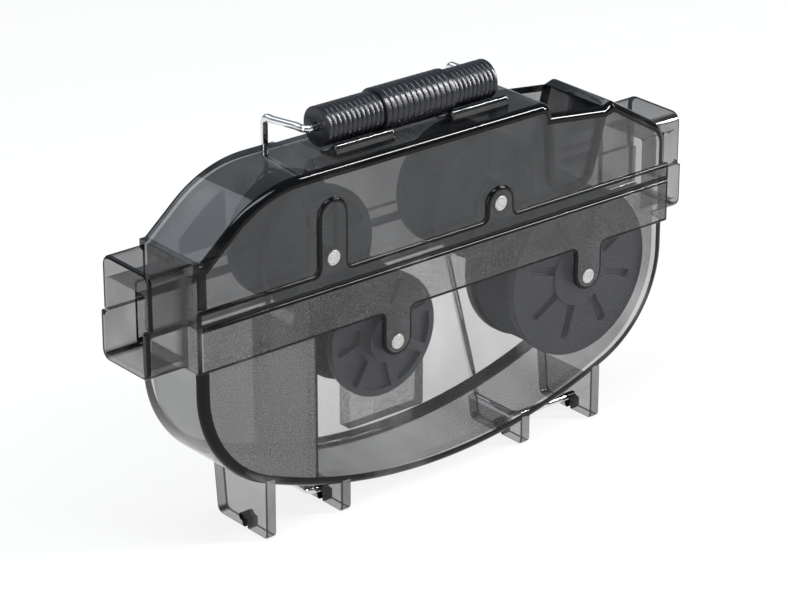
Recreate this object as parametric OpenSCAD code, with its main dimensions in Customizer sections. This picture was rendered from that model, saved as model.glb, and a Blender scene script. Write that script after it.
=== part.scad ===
/* [Body] */
// Width of the tank and of the lid, ports left out
body_w = 169.5; // [160:0.5:180]
// Depth of the tank and of the lid, from front face to back face
body_d = 27.5; // [27:0.1:30]
// Height at which the lid meets the tank, above the feet
parting_z = 69.7; // [69:0.1:71]
// Height of the lowest point of the tank's round bottom
tank_bottom_z = 4.2; // [3.8:0.1:5]
// Radius of the tank's two lower corners
corner_r = 35; // [30:0.5:38]
// Radius of the shallow curve along the tank's bottom
bottom_r = 163; // [130:1:220]
// Wall of the tank and of the lid
wall = 2; // [1.6:0.1:2.2]
// Gap along the parting line between lid and tank
parting_gap = 0.15; // [0.1:0.05:0.3]

/* [Bands and tabs] */
// How far the bands and tabs stand proud of the faces
band_proud = 0.8; // [0.4:0.1:1]
// Height of the band under the tank's rim
band_h = 13.2; // [10:0.1:15]
// Height of the flange round the lid's lower edge
flange_h = 5.1; // [4:0.1:6]
// Half width of the round-ended tabs over the axles
tab_r = 5.2; // [4.5:0.1:6]
// How far the end of a lower tab's curve sits inward of its axle
tab_shift = 1.1; // [0:0.1:1.5]
// Length by which the tall tab on the lid rises over its axle
tall_tab_rise = 12.2; // [8:0.1:14]

/* [Lid] */
// Height of the lid's flat top
plateau_z = 104.1; // [103.8:0.1:104.5]
// Height of the shoulder over the ports where the slopes begin
shoulder_z = 87.5; // [87:0.1:89]
// Angle of the straight left slope
slope_angle = 40; // [38:0.5:42]
// Radius of the long curve from that slope up to the flat top
slope_r = 37; // [34:0.5:38]
// Width of the shoulder between that slope and the body's end
shoulder_w = 2.1; // [0.5:0.1:4]
// Places along the length are shares of half the body's width, from its middle
// Right end of the flat top
plateau_end_share = 0.4720; // [0.468:0.001:0.484]
// Rounding of that end
plateau_end_r = 4; // [2:0.5:4]
// Place of the ear at the right of the fill pocket
ear_share = 0.7516; // [0.743:0.001:0.767]
// Height of that ear
ear_z = 98.6; // [98:0.1:100]
// Height where the right slope would meet the lid's end
slope_end_z = 85.9; // [85:0.1:88]
// Rounding between the right slope and the lid's end
slope_end_r = 9; // [5:0.5:12]

/* [Fill pocket] */
// Wall of the pocket's trough
pocket_wall = 1.6; // [1.2:0.1:1.7]
// Rounding along the bottom of the trough
pocket_r = 5; // [3:0.1:5]
// Gap between the end of the flat top and the trough's upper left edge
pocket_edge = 0.3; // [0.1:0.1:1]
// How far the trough's left wall leans inward
pocket_slant = 1.9; // [1:0.1:3]
// Width of the trough's floor
pocket_floor_w = 12.1; // [11:0.1:13]
// Height of that floor
pocket_floor_z = 76.5; // [76:0.1:79]
// Distance between the trough's upper right edge and the ear
pocket_land = 3.4; // [2.5:0.1:4.5]
// Height of the pocket's front and back walls at the right
pocket_end_z = 97.6; // [95:0.1:98]
// Height of the pocket's front and back walls at the left
pocket_lip_z = 100.2; // [99:0.1:100.2]
// Diameter of the hole in the trough's bottom
pocket_hole_d = 4; // [3:0.1:5]

/* [Chain ports] */
// How far the ports of the tank stand out from the body's ends
port_out = 12.45; // [10:0.05:15]
// How far the lid's half of a port stays behind the tank's half
port_step = 1; // [0.5:0.1:1.5]
// Height of the ports' underside
port_bottom_z = 55.5; // [54:0.1:56.5]
// Height of the ports' top
port_top_z = 86; // [85.5:0.1:87]
// Distance of the ports' front behind the front face
port_inset = 5.9; // [5:0.1:7]
// Wall of the ports
port_wall = 2.1; // [1.8:0.1:2.5]
// Height of the opening's top
port_mouth_z = 80; // [79:0.1:82]
// Rounding along the ports' outer edges
port_r = 3.2; // [2.5:0.1:4]

/* [Feet] */
// Thickness of a foot plate
foot_t = 3.6; // [3:0.1:4]
// Distance of a foot plate's rear edge before the back face
foot_back = 2.9; // [1.5:0.1:5]
// Length by which a foot plate narrows towards its lower end
foot_taper = 1.8; // [0:0.1:3]
// Rounding of a foot's lower corners
foot_r = 2.5; // [1.5:0.1:3]
// Places of the four feet along the length
foot_a_share = -0.7292; // [-0.755:0.001:-0.708]
foot_b_share = -0.4177; // [-0.425:0.001:-0.408]
foot_c_share = 0.3729; // [0.354:0.001:0.389]
foot_d_share = 0.6962; // [0.680:0.001:0.720]
// Width of the mouth of a foot's notch
notch_mouth = 1.2; // [1:0.1:2]
// Distance of the notch's front edge behind the front face
notch_y = 8.8; // [8.4:0.1:9]

/* [Inside] */
// Place of the partition between the two compartments
partition_share = -0.5428; // [-0.555:0.001:-0.519]
// Thickness of that partition
partition_t = 1.9; // [1.5:0.1:2.2]
// Height of its top edge
partition_top_z = 56; // [50:0.5:57]
// Left side of the raised box on the inside of the back wall
inner_box_share = -0.2053; // [-0.236:0.001:-0.177]
// Width of that box
inner_box_w = 28; // [20:0.5:30]
// Height of its underside
inner_box_z = 11.5; // [10:0.1:13]
// Height of that box
inner_box_h = 15; // [10:0.1:16]
// How far that box stands off the back wall
inner_box_d = 4.4; // [3:0.1:5]
// Thickness of the chain guides that hang inside the lid's ends
guide_t = 1.8; // [1.4:0.1:2.4]
// Depth of those guides below the shoulder
guide_drop = 3; // [2:0.1:5]

/* [Axles] */
// Place of the upper left axle along the length
ul_share = -0.4696; // [-0.477:0.001:-0.463]
// Height of the upper left axle
ul_z = 78.4; // [78.2:0.1:79]
// Place of the upper right axle
ur_share = 0.2372; // [0.230:0.001:0.240]
// Height of the upper right axle
ur_z = 78.8; // [78.2:0.1:79]
// Place of the lower left axle
ll_share = -0.2053; // [-0.211:0.001:-0.198]
// Height of the lower left axle
ll_z = 47.1; // [46:0.1:47.4]
// Place of the lower right axle
lr_share = 0.6407; // [0.636:0.001:0.649]
// Height of the lower right axle
lr_z = 47.2; // [46:0.1:47.6]
// Diameter of the axle pins
pin_d = 4.5; // [3.5:0.1:5]
// Radial running clearance of the wheels on their pins
pin_play = 0.08; // [0.05:0.01:0.1]
// Radial gap of the pins in the walls that hold them
pin_fit = 0.02; // [0.01:0.01:0.04]

/* [Wheels] */
// Gap between the rims of the two left brush wheels
wheel_gap = 1.7; // [1.5:0.1:3]
// Gap between the sponge wheel and the tank's wall
sponge_gap = 2.95; // [2.8:0.05:4]
// Distance of the brush wheels' front discs behind the front face
brush_y = 5.6; // [5:0.1:6.5]
// Distance of the brush wheels' rear discs before the inside of the back wall
brush_back = 2.3; // [2:0.1:3.5]
// Distance of the sponge wheel's front disc behind the front face
sponge_y = 3.2; // [2.8:0.1:3.6]
// Distance of the sponge wheel's rear disc before the inside of the back wall
sponge_back = 0.9; // [0.6:0.1:2.5]
// Thickness of a wheel disc
disc_t = 2.4; // [2:0.1:3]
// Radius of the sleeve that carries a brush or the sponge
sleeve_r = 7.4; // [6.5:0.1:8]
// Width of a spoke between two recesses
spoke_w = 2.8; // [1.6:0.1:3]
// Width of the rim round the recesses
rim_w = 1.8; // [1.5:0.1:3]
// Radius of the hub ring inside the recesses
hub_r = 8.6; // [8:0.1:9.5]
// Radius of the boss on a brush wheel's hub
boss_r = 7; // [5:0.1:7.8]
// Gap between a wheel's boss and the wall beside it
boss_gap = 0.6; // [0.4:0.05:0.8]
// Depth of the recesses
recess_t = 1.4; // [0.6:0.1:1.5]
// Number of spokes
spokes = 8; // [6:1:10]
// How far each wheel is turned at rest
ul_turn = 13; // [0:1:45]
ur_turn = 30; // [0:1:45]
ll_turn = 15; // [0:1:45]
lr_turn = 29; // [0:1:45]
// Radius of the boss on the sponge wheel's hub
big_hub_r = 10; // [9:0.1:12]
// Width of a slot in the sponge wheel
slot_w = 2.8; // [2:0.1:4]
// Outer end of those slots
slot_end_r = 20.5; // [17:0.1:21]

/* [Brushes] */
// Thickness of the backing ring that the bristles stand on
backing_t = 1.2; // [0.8:0.1:1.5]
// Radial gap between the backing ring and the sleeve
backing_gap = 0.15; // [0.1:0.05:0.3]
// Gap between a brush or the sponge and a disc
brush_gap = 0.3; // [0.2:0.05:0.5]
// Length by which the bristle tips stay inside the disc's edge
tip_inset = 1; // [0.5:0.1:3]
// Thickness of a bristle tuft at its root
tuft_root = 1.1; // [0.8:0.1:1.2]
// Thickness of a bristle tuft at its tip
tuft_tip = 0.9; // [0.6:0.1:1]
// Tufts in one ring
tufts_round = 24; // [20:1:26]
// Rings of tufts in one brush
tuft_rings = 6; // [5:1:6]

/* [Bail] */
// Diameter of the bail's wire
wire_d = 2.2; // [2:0.1:2.4]
// Gap between the body's back face and the wire
wire_gap = 1.1; // [1.1:0.1:2]
// Radius of the wire's bends, at its centre line
bend_r = 2; // [1.8:0.1:2.2]
// Gap between the left leg's lower bend and the foot that it turns in
leg_gap = 0.4; // [0.3:0.1:1.5]
// Height of the legs' upper ends, a little under the grip's axis
leg_top_z = 110.4; // [110:0.1:111]
// Gap between the grip's right end and the right leg's upper bend
grip_gap = 0.2; // [0.1:0.1:1.5]
// Place of the foot of the right leg
leg_foot_share = 0.4437; // [0.434:0.001:0.472]
// Height where the right leg starts to lean outward
leg_kink_z = 51; // [45:0.5:60]
// Distance of the bail's hinge line behind the front face
hinge_y = 11.5; // [11.4:0.1:11.7]
// Height of that hinge line
hinge_z = 3; // [3:0.1:3.2]
// Height of the grip's axis
grip_z = 111.6; // [111.5:0.1:112]
// Distance of the grip's axis behind the front face
grip_y = 11.5; // [11.4:0.1:11.7]
// Radial running clearance of the wire's ends and of the grip
wire_play = 0.08; // [0.05:0.01:0.1]

/* [Grip] */
// Left end of the grip
grip_start_share = -0.4248; // [-0.429:0.001:-0.413]
// Right end of the grip
grip_end_share = 0.2855; // [0.271:0.001:0.293]
// Radius of the grip's two end sleeves
sleeve_grip_r = 5.7; // [5.4:0.1:6]
// Radius of the grip's middle collar
collar_r = 6.4; // [6.1:0.1:6.5]
// Left end of the collar
collar_start_share = -0.1935; // [-0.198:0.001:-0.165]
// Right end of the collar
collar_end_share = 0.1015; // [0.083:0.001:0.106]
// Depth of the grooves round the grip
groove_t = 0.35; // [0.2:0.05:0.5]
// Width of one of those grooves
groove_w = 0.5; // [0.3:0.1:0.8]
// Number of grooves on an end sleeve
sleeve_grooves = 10; // [6:1:12]
// Number of grooves on the collar
collar_grooves = 12; // [8:1:14]

/* [Saddles] */
// Left end of the left saddle
saddle_a_share = -0.4106; // [-0.425:0.001:-0.401]
// Right end of the right saddle
saddle_b_share = 0.3186; // [0.307:0.001:0.330]
// Length of a saddle
saddle_w = 20.6; // [18:0.1:21]
// Distance of the saddles' front behind the front face
saddle_y = 4.3; // [4:0.1:4.6]
// Depth of the saddles from front to back
saddle_d = 16; // [14:0.1:16.5]
// Height of the saddles' front lip
saddle_lip_z = 107.9; // [107:0.1:108.1]
// Slant of the lip's front edge
saddle_edge = 0.7; // [0.3:0.1:0.8]
// How far the seat's back half stands above the flat top
saddle_rise = 0.4; // [0.2:0.05:0.45]
// Gap between the grip and its seat
seat_gap = 0.4; // [0.3:0.05:0.5]
// Depth to which the back of the flat top falls away under the grip's path
relief_t = 1.2; // [1.2:0.1:1.5]
// Width of that fall
relief_d = 8; // [8:0.1:9]

/* [Hidden] */

// Overrun of every cut past the face that it opens
over = 2;
// Facets of a full circle
round_fn = 64;
// Turn of one step along an outline's rounding, and the longest such step
arc_step = 6;
arc_len = 4;

half_w = body_w / 2;
port_reach = half_w + port_out;
plateau_end_x = plateau_end_share * half_w;
ear_x = ear_share * half_w;
partition_x = partition_share * half_w;
inner_box_x = inner_box_share * half_w;
foot_a_x = foot_a_share * half_w;
foot_b_x = foot_b_share * half_w;
foot_c_x = foot_c_share * half_w;
foot_d_x = foot_d_share * half_w;
ul_x = ul_share * half_w;
ur_x = ur_share * half_w;
ll_x = ll_share * half_w;
lr_x = lr_share * half_w;
grip_start_x = grip_start_share * half_w;
grip_end_x = grip_end_share * half_w;
collar_start_x = collar_start_share * half_w;
collar_end_x = collar_end_share * half_w;
saddle_a_x = saddle_a_share * half_w;
saddle_b_x = saddle_b_share * half_w;
leg_left_x = foot_b_x - foot_t / 2 - bend_r - leg_gap;
leg_right_x = grip_end_x + bend_r + grip_gap;
leg_foot_x = leg_foot_share * half_w;
wire_r = wire_d / 2;
pin_r = pin_d / 2;
total_d = band_proud + body_d + wire_gap + wire_d;
// Front face and back face of the body; the middle of the whole depth is zero
face_y = band_proud - total_d / 2;
back_y = face_y + body_d;
lid_z = parting_z + parting_gap;
port_front_y = face_y + port_inset;
port_back_y = back_y;
leg_y = back_y + wire_gap + wire_r;
hinge_line_y = face_y + hinge_y;
grip_line_y = face_y + grip_y;

// The lower curve: two corners and one shallow arc, all tangent
bottom_turn = asin((half_w - corner_r) / (bottom_r - corner_r));
bottom_apex_z = tank_bottom_z + bottom_r - bottom_r / cos(bottom_turn);
side_apex_z = bottom_apex_z + half_w * tan(bottom_turn);

// Where the left slope starts on the shoulder, and where it would meet the flat top
slope_foot_x = shoulder_w - half_w;
slope_apex_x = slope_foot_x + (plateau_z - shoulder_z) / tan(slope_angle);

// The trough's edges, and how much its walls lean sideways for one unit of height
pocket_start_x = plateau_end_x + pocket_edge;
pocket_floor_a_x = pocket_start_x + pocket_slant;
pocket_floor_b_x = pocket_floor_a_x + pocket_floor_w;
pocket_end_x = ear_x - pocket_land;
pocket_lean_a = (pocket_floor_a_x - pocket_start_x) / (pocket_lip_z - pocket_floor_z);
pocket_lean_b = (pocket_end_x - pocket_floor_b_x) / (pocket_end_z - pocket_floor_z);

// A height inside the tank's bottom wall
function tank_z(x) =
    wall + tank_bottom_z + bottom_r - (abs(x) > bottom_r * sin(bottom_turn)
        ? (bottom_r - corner_r) * cos(bottom_turn)
          + sqrt(corner_r * corner_r - (abs(x) - half_w + corner_r) * (abs(x) - half_w + corner_r))
        : sqrt(bottom_r * bottom_r - x * x));

// The wheels fill the room that the axles and the walls leave them
brush_r = (norm([ul_x - ll_x, ul_z - ll_z]) - wheel_gap) / 2;
sponge_r = min(half_w - wall - lr_x, lr_z - tank_z(lr_x)) - sponge_gap;
brush_w = body_d - wall - brush_back - brush_y;
sponge_w = body_d - wall - sponge_back - sponge_y;

// Outlines are lists of corners, each [x, z, rounding], anticlockwise
function unit(v) = v / norm(v);
function flat(c) = [c[0], c[1]];
function turn(a, b) = (b - a + 540) % 360 - 180;
function angle_of(v) = atan2(v[1], v[0]);
function round_corner(p, c, n, r) =
    let (u = unit(p - c), v = unit(n - c), half = acos(u * v) / 2,
         m = c + unit(u + v) * r / sin(half),
         from = angle_of(c + u * r / tan(half) - m),
         sweep = turn(from, angle_of(c + v * r / tan(half) - m)),
         steps = max(1, ceil(abs(sweep) / arc_step), ceil(abs(sweep) * r / 60 / arc_len)))
    [for (i = [0:steps]) m + r * [cos(from + sweep * i / steps), sin(from + sweep * i / steps)]];
function rounded(c) =
    [for (i = [0:len(c) - 1])
        each c[i][2] > 0
            ? round_corner(flat(c[(i + len(c) - 1) % len(c)]), flat(c[i]), flat(c[(i + 1) % len(c)]), c[i][2])
            : [flat(c[i])]];
function left_of(a, b) = let (d = unit(b - a)) [-d[1], d[0]];
function inset_corner(p, c, n, r, w) =
    let (a = left_of(p, c), b = left_of(c, n), q = c + w * (a + b) / (1 + a * b),
         out = a[0] * b[1] - a[1] * b[0] > 0)
    [q[0], q[1], r == 0 ? 0 : max(0, out ? r - w : r + w)];
function inset(c, w) =
    [for (i = [0:len(c) - 1])
        inset_corner(flat(c[(i + len(c) - 1) % len(c)]), flat(c[i]), flat(c[(i + 1) % len(c)]), c[i][2], w)];

function tank_corners(top) = [
    [-half_w, top, 0], [-half_w, side_apex_z, corner_r], [0, bottom_apex_z, bottom_r],
    [half_w, side_apex_z, corner_r], [half_w, top, 0]];
function lid_corners(low) = [
    [-half_w, low, 0], [half_w, low, 0], [half_w, slope_end_z, slope_end_r],
    [ear_x, ear_z, pocket_wall], [pocket_end_x, pocket_end_z, 0],
    [pocket_start_x, pocket_lip_z, 0], [plateau_end_x, plateau_z, plateau_end_r],
    [slope_apex_x, plateau_z, slope_r], [slope_foot_x, shoulder_z, 0],
    [-half_w, shoulder_z, 0]];
// The inside of the lid has a straight roof over the pocket, which is cut later
function lid_inner_corners(low) = [
    [-half_w, low, 0], [half_w, low, 0], [half_w, slope_end_z, slope_end_r],
    [ear_x, ear_z, 0], [plateau_end_x, plateau_z, 0],
    [slope_apex_x, plateau_z, slope_r], [slope_foot_x, shoulder_z, 0],
    [-half_w, shoulder_z, 0]];
pocket_corners = [
    [pocket_start_x - pocket_lean_a * (plateau_z + over - pocket_lip_z), plateau_z + over, 0],
    [pocket_floor_a_x, pocket_floor_z, pocket_r],
    [pocket_floor_b_x, pocket_floor_z, pocket_r],
    [pocket_end_x + pocket_lean_b * (plateau_z + over - pocket_end_z), plateau_z + over, 0]];

// A flat shape drawn in x and z, made solid from y0 to y1
module slab(y0, y1) {
    translate([0, y1, 0]) rotate([90, 0, 0]) linear_extrude(y1 - y0) children();
}
// A flat shape drawn in y and z, made solid from x0 to x1
module rail(x0, x1) {
    translate([x0, 0, 0]) rotate([90, 0, 90]) linear_extrude(x1 - x0) children();
}
// Things drawn round the z axis, turned so that z runs back along an axle
module on_axle(x, z, y) {
    translate([x, y, z]) rotate([-90, 0, 0]) children();
}
module bore(x, z, r) {
    on_axle(x, z, face_y - band_proud - over)
        cylinder(h = total_d + 2 * over, r = r, $fn = round_fn);
}
module tab(x, from_z, to_z) {
    dir = to_z > from_z ? 1 : -1;
    slab(face_y - band_proud, back_y + band_proud) union() {
        translate([x - tab_r, min(from_z, to_z)]) square([2 * tab_r, abs(to_z - from_z)]);
        translate([x, to_z]) circle(r = tab_r, $fn = round_fn);
    }
}
module strip(z0, z1) {
    translate([-half_w - band_proud, face_y - band_proud, z0])
        cube([body_w + 2 * band_proud, body_d + 2 * band_proud, z1 - z0]);
}
// One end's port from z0 to z1; lower corners or upper corners are rounded
module port(side, z0, z1, reach, low) {
    corners = low
        ? [[port_front_y, z1, 0], [port_front_y, z0, port_r],
           [port_back_y, z0, port_r], [port_back_y, z1, 0]]
        : [[port_front_y, z0, 0], [port_back_y, z0, 0],
           [port_back_y, z1, port_r], [port_front_y, z1, port_r]];
    from = half_w - wall;
    rail(side > 0 ? from : -reach, side > 0 ? reach : -from) polygon(rounded(corners));
}
module port_channel(side) {
    length = port_reach - half_w + wall + 2 * over;
    translate([side > 0 ? half_w - wall - over : -port_reach - over,
               port_front_y + port_wall, port_bottom_z + port_wall])
        cube([length, port_back_y - port_front_y - 2 * port_wall,
              port_mouth_z - port_bottom_z - port_wall]);
}

module foot(x) {
    top = tank_z(x);
    difference() {
        rail(x - foot_t / 2, x + foot_t / 2) polygon(rounded([
            [face_y, 0, foot_r], [back_y - foot_back - foot_taper, 0, foot_r],
            [back_y - foot_back, top, 0], [face_y, top, 0]]));
        rail(x - foot_t, x + foot_t) union() {
            translate([hinge_line_y, hinge_z]) circle(r = wire_r + wire_play, $fn = round_fn);
            polygon([[face_y + notch_y, -over], [face_y + notch_y + notch_mouth, -over],
                     [hinge_line_y, hinge_z - wire_r / 2], [hinge_line_y, hinge_z + wire_r / 2],
                     [face_y + notch_y, hinge_z]]);
        }
    }
}
module tank_inside() {
    slab(face_y + wall, back_y - wall)
        polygon(rounded(inset(tank_corners(parting_z + wall + over), wall)));
}
module tank_shell() {
    color([0.20, 0.19, 0.18, 0.6]) union() {
        difference() {
            union() {
                slab(face_y, back_y) polygon(rounded(tank_corners(parting_z)));
                strip(parting_z - band_h, parting_z);
                tab(ll_x, parting_z, ll_z + tab_shift);
                tab(lr_x, parting_z, lr_z + tab_shift);
                port(-1, port_bottom_z, parting_z, port_reach, true);
                port(1, port_bottom_z, parting_z, port_reach, true);
                for (x = [foot_a_x, foot_b_x, foot_c_x, foot_d_x]) foot(x);
            }
            tank_inside();
            port_channel(-1);
            port_channel(1);
            bore(ll_x, ll_z, pin_r + pin_fit);
            bore(lr_x, lr_z, pin_r + pin_fit);
        }
        // Partition between the two compartments, and the box on the back wall
        intersection() {
            slab(face_y + wall / 2, back_y - wall / 2)
                polygon(rounded(inset(tank_corners(parting_z), wall / 2)));
            union() {
                translate([partition_x - partition_t / 2, face_y, 0])
                    cube([partition_t, body_d, partition_top_z]);
                translate([inner_box_x, back_y - wall - inner_box_d, inner_box_z])
                    cube([inner_box_w, inner_box_d + wall, inner_box_h]);
            }
        }
    }
}

module saddle(x0) {
    mid = grip_line_y;
    front = face_y + saddle_y;
    rear = front + saddle_d;
    difference() {
        rail(x0, x0 + saddle_w) polygon([
            [front, plateau_z - wall / 2], [rear, plateau_z - wall / 2], [rear, plateau_z],
            [mid, plateau_z + saddle_rise], [mid, saddle_lip_z],
            [front + saddle_edge, saddle_lip_z], [front, saddle_lip_z - saddle_edge]]);
        translate([x0 - over, mid, grip_z]) rotate([0, 90, 0])
            cylinder(h = saddle_w + 2 * over, r = collar_r + seat_gap, $fn = round_fn);
    }
}
module guide(x0, x1) {
    mid = grip_line_y + saddle_y;
    slab(mid - guide_t / 2, mid + guide_t / 2) intersection() {
        polygon(rounded(inset(lid_inner_corners(lid_z), wall / 2)));
        translate([x0, shoulder_z - guide_drop]) square([x1 - x0, plateau_z - shoulder_z]);
    }
}
module lid_shell() {
    color([0.20, 0.19, 0.18, 0.6]) union() {
        difference() {
            union() {
                slab(face_y, back_y) polygon(rounded(lid_corners(lid_z)));
                strip(lid_z, parting_z + flange_h);
                tab(ul_x, lid_z, ul_z + tall_tab_rise);
                tab(ur_x, lid_z, ur_z);
                port(-1, lid_z, port_top_z, port_reach - port_step, false);
                port(1, lid_z, port_top_z, port_reach - port_step, false);
            }
            slab(face_y + wall, back_y - wall) difference() {
                polygon(rounded(inset(lid_inner_corners(lid_z - wall - over), wall)));
                polygon(rounded(inset(pocket_corners, -pocket_wall)));
            }
            slab(face_y + wall, back_y - wall) polygon(rounded(pocket_corners));
            port_channel(-1);
            port_channel(1);
            bore(ul_x, ul_z, pin_r + pin_fit);
            bore(ur_x, ur_z, pin_r + pin_fit);
            // Hole in the trough's bottom
            translate([(pocket_floor_a_x + pocket_floor_b_x) / 2, (face_y + back_y) / 2,
                       pocket_floor_z - pocket_wall - over])
                cylinder(h = pocket_wall + 2 * over, r = pocket_hole_d / 2, $fn = round_fn);
            // The back of the flat top falls away, so that the grip clears it
            rail(leg_left_x, leg_right_x + wire_d) polygon([
                [back_y - relief_d, plateau_z],
                [back_y + over, plateau_z - relief_t * (relief_d + over) / relief_d],
                [back_y + over, plateau_z + over], [back_y - relief_d, plateau_z + over]]);
        }
        saddle(saddle_a_x);
        saddle(saddle_b_x - saddle_w);
        guide(slope_foot_x + 2 * wall, slope_foot_x + slope_r / 2);
        guide(pocket_end_x, ear_x + slope_r / 4);
    }
}

// A corner that turns little is a kink, filled by a ball a little wider than the wire
kink_share = 0.5;
ball_share = 1.06;
// The bail: corners of the wire's centre line, from the left end to the right end
bail_points = [
    [foot_b_x + foot_t / 2 - wall / 4, hinge_line_y, hinge_z],
    [leg_left_x, hinge_line_y, hinge_z],
    [leg_left_x, leg_y, hinge_z],
    [leg_left_x, leg_y, leg_top_z],
    [leg_left_x, leg_y - 2 * bend_r, leg_top_z],
    [leg_left_x, grip_line_y + 2 * bend_r, grip_z],
    [leg_left_x, grip_line_y, grip_z],
    [leg_right_x, grip_line_y, grip_z],
    [leg_right_x, grip_line_y + 2 * bend_r, grip_z],
    [leg_right_x, leg_y - 2 * bend_r, leg_top_z],
    [leg_right_x, leg_y, leg_top_z],
    [leg_right_x, leg_y, leg_kink_z],
    [leg_foot_x, leg_y, hinge_z + bend_r + wire_d],
    [leg_foot_x, leg_y, hinge_z],
    [leg_foot_x, hinge_line_y, hinge_z],
    [foot_d_x + foot_t / 2 - wall / 4, hinge_line_y, hinge_z]];
function heading(i) = unit(bail_points[i + 1] - bail_points[i]);
// Length that a corner takes from the runs beside it: a bend takes some, a slight kink none
function taken(i) =
    i > 0 && i < len(bail_points) - 1 && abs(heading(i - 1) * heading(i)) < kink_share ? bend_r : 0;
module wire_run(a, b) {
    d = b - a;
    translate(a) rotate([0, acos(d[2] / norm(d)), atan2(d[1], d[0])])
        cylinder(h = norm(d), r = wire_r, $fn = round_fn);
}
module wire_bend(p, u, v) {
    m = p - bend_r * u + bend_r * v;
    w = cross(u, v);
    multmatrix([[-v[0], u[0], w[0], m[0]], [-v[1], u[1], w[1], m[1]], [-v[2], u[2], w[2], m[2]]])
        rotate_extrude(angle = 90, $fn = round_fn) translate([bend_r, 0]) circle(r = wire_r, $fn = round_fn);
}
module bail_wire() {
    color("silver") union() {
        for (i = [0:len(bail_points) - 2])
            wire_run(bail_points[i] + taken(i) * heading(i), bail_points[i + 1] - taken(i + 1) * heading(i));
        for (i = [1:len(bail_points) - 2])
            if (taken(i) > 0) wire_bend(bail_points[i], heading(i - 1), heading(i));
            else translate(bail_points[i]) sphere(r = wire_r * ball_share, $fn = round_fn);
    }
}

// A grooved tube on the bail's crossbar
module grip_tube(x0, x1, r, grooves) {
    pitch = (x1 - x0) / (grooves + 1);
    color([0.05, 0.05, 0.06]) translate([x0, grip_line_y, grip_z]) rotate([0, 90, 0]) difference() {
        rotate_extrude($fn = round_fn) polygon([
            [wire_r + wire_play, 0], [r - groove_t, 0], [r, groove_t],
            for (i = [1:grooves]) each [
                [r, i * pitch - groove_w / 2], [r - groove_t, i * pitch - groove_w / 2],
                [r - groove_t, i * pitch + groove_w / 2], [r, i * pitch + groove_w / 2]],
            [r, x1 - x0 - groove_t], [r - groove_t, x1 - x0], [wire_r + wire_play, x1 - x0]]);
    }
}
module grip_left_sleeve() grip_tube(grip_start_x, collar_start_x, sleeve_grip_r, sleeve_grooves);
module grip_collar() grip_tube(collar_start_x, collar_end_x, collar_r, collar_grooves);
module grip_right_sleeve() grip_tube(collar_end_x, grip_end_x, sleeve_grip_r, sleeve_grooves);

// A pin through both walls, flush with the tabs
module axle(x, z) {
    color([0.75, 0.75, 0.73]) on_axle(x, z, face_y - band_proud)
        cylinder(h = body_d + 2 * band_proud, r = pin_r, $fn = round_fn);
}
module upper_left_axle() axle(ul_x, ul_z);
module upper_right_axle() axle(ur_x, ur_z);
module lower_left_axle() axle(ll_x, ll_z);
module lower_right_axle() axle(lr_x, lr_z);

// One recess between two spokes, as a flat shape
module sector(r0, r1) {
    a0 = 180 / spokes - asin(spoke_w / 2 / r0);
    a1 = 180 / spokes - asin(spoke_w / 2 / r1);
    steps = ceil(2 * a1 / arc_step);
    polygon(concat(
        [for (i = [0:steps]) r1 * [cos(-a1 + 2 * a1 * i / steps), sin(-a1 + 2 * a1 * i / steps)]],
        [for (i = [0:steps]) r0 * [cos(a0 - 2 * a0 * i / steps), sin(a0 - 2 * a0 * i / steps)]]));
}
// Half a wheel: a disc with its outer face at zero, half of the sleeve, and a boss outside
module wheel_half(r, w, boss, big) {
    color([0.10, 0.10, 0.11]) difference() {
        union() {
            cylinder(h = disc_t, r = r, $fn = round_fn);
            cylinder(h = w / 2, r = sleeve_r, $fn = round_fn);
            translate([0, 0, -boss])
                cylinder(h = boss + recess_t, r = big ? big_hub_r : boss_r, $fn = round_fn);
        }
        translate([0, 0, -boss - over])
            cylinder(h = w + boss + 2 * over, r = pin_r + pin_play, $fn = round_fn);
        for (i = [0:spokes - 1]) rotate(360 / spokes * i) translate([0, 0, -over])
            linear_extrude(over + recess_t)
                if (big) difference() {
                    union() {
                        translate([0, -slot_w / 2]) square([slot_end_r - slot_w / 2, slot_w]);
                        translate([slot_end_r - slot_w / 2, 0]) circle(r = slot_w / 2, $fn = round_fn);
                    }
                    circle(r = big_hub_r, $fn = round_fn);
                } else rotate(180 / spokes) sector(hub_r, r - rim_w);
    }
}
module front_half(x, z, y, r, w, turned, big) {
    on_axle(x, z, face_y + y) rotate(-turned) wheel_half(r, w, y - wall - boss_gap, big);
}
module rear_half(x, z, y, r, w, turned, big) {
    translate([x, face_y + y + w, z]) rotate([90, 0, 0]) rotate(turned)
        wheel_half(r, w, body_d - wall - y - w - boss_gap, big);
}
module upper_left_front_disc() front_half(ul_x, ul_z, brush_y, brush_r, brush_w, ul_turn, false);
module upper_left_rear_disc() rear_half(ul_x, ul_z, brush_y, brush_r, brush_w, ul_turn, false);
module upper_right_front_disc() front_half(ur_x, ur_z, brush_y, brush_r, brush_w, ur_turn, false);
module upper_right_rear_disc() rear_half(ur_x, ur_z, brush_y, brush_r, brush_w, ur_turn, false);
module lower_left_front_disc() front_half(ll_x, ll_z, brush_y, brush_r, brush_w, ll_turn, false);
module lower_left_rear_disc() rear_half(ll_x, ll_z, brush_y, brush_r, brush_w, ll_turn, false);
module lower_right_front_disc() front_half(lr_x, lr_z, sponge_y, sponge_r, sponge_w, lr_turn, true);
module lower_right_rear_disc() rear_half(lr_x, lr_z, sponge_y, sponge_r, sponge_w, lr_turn, true);

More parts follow.
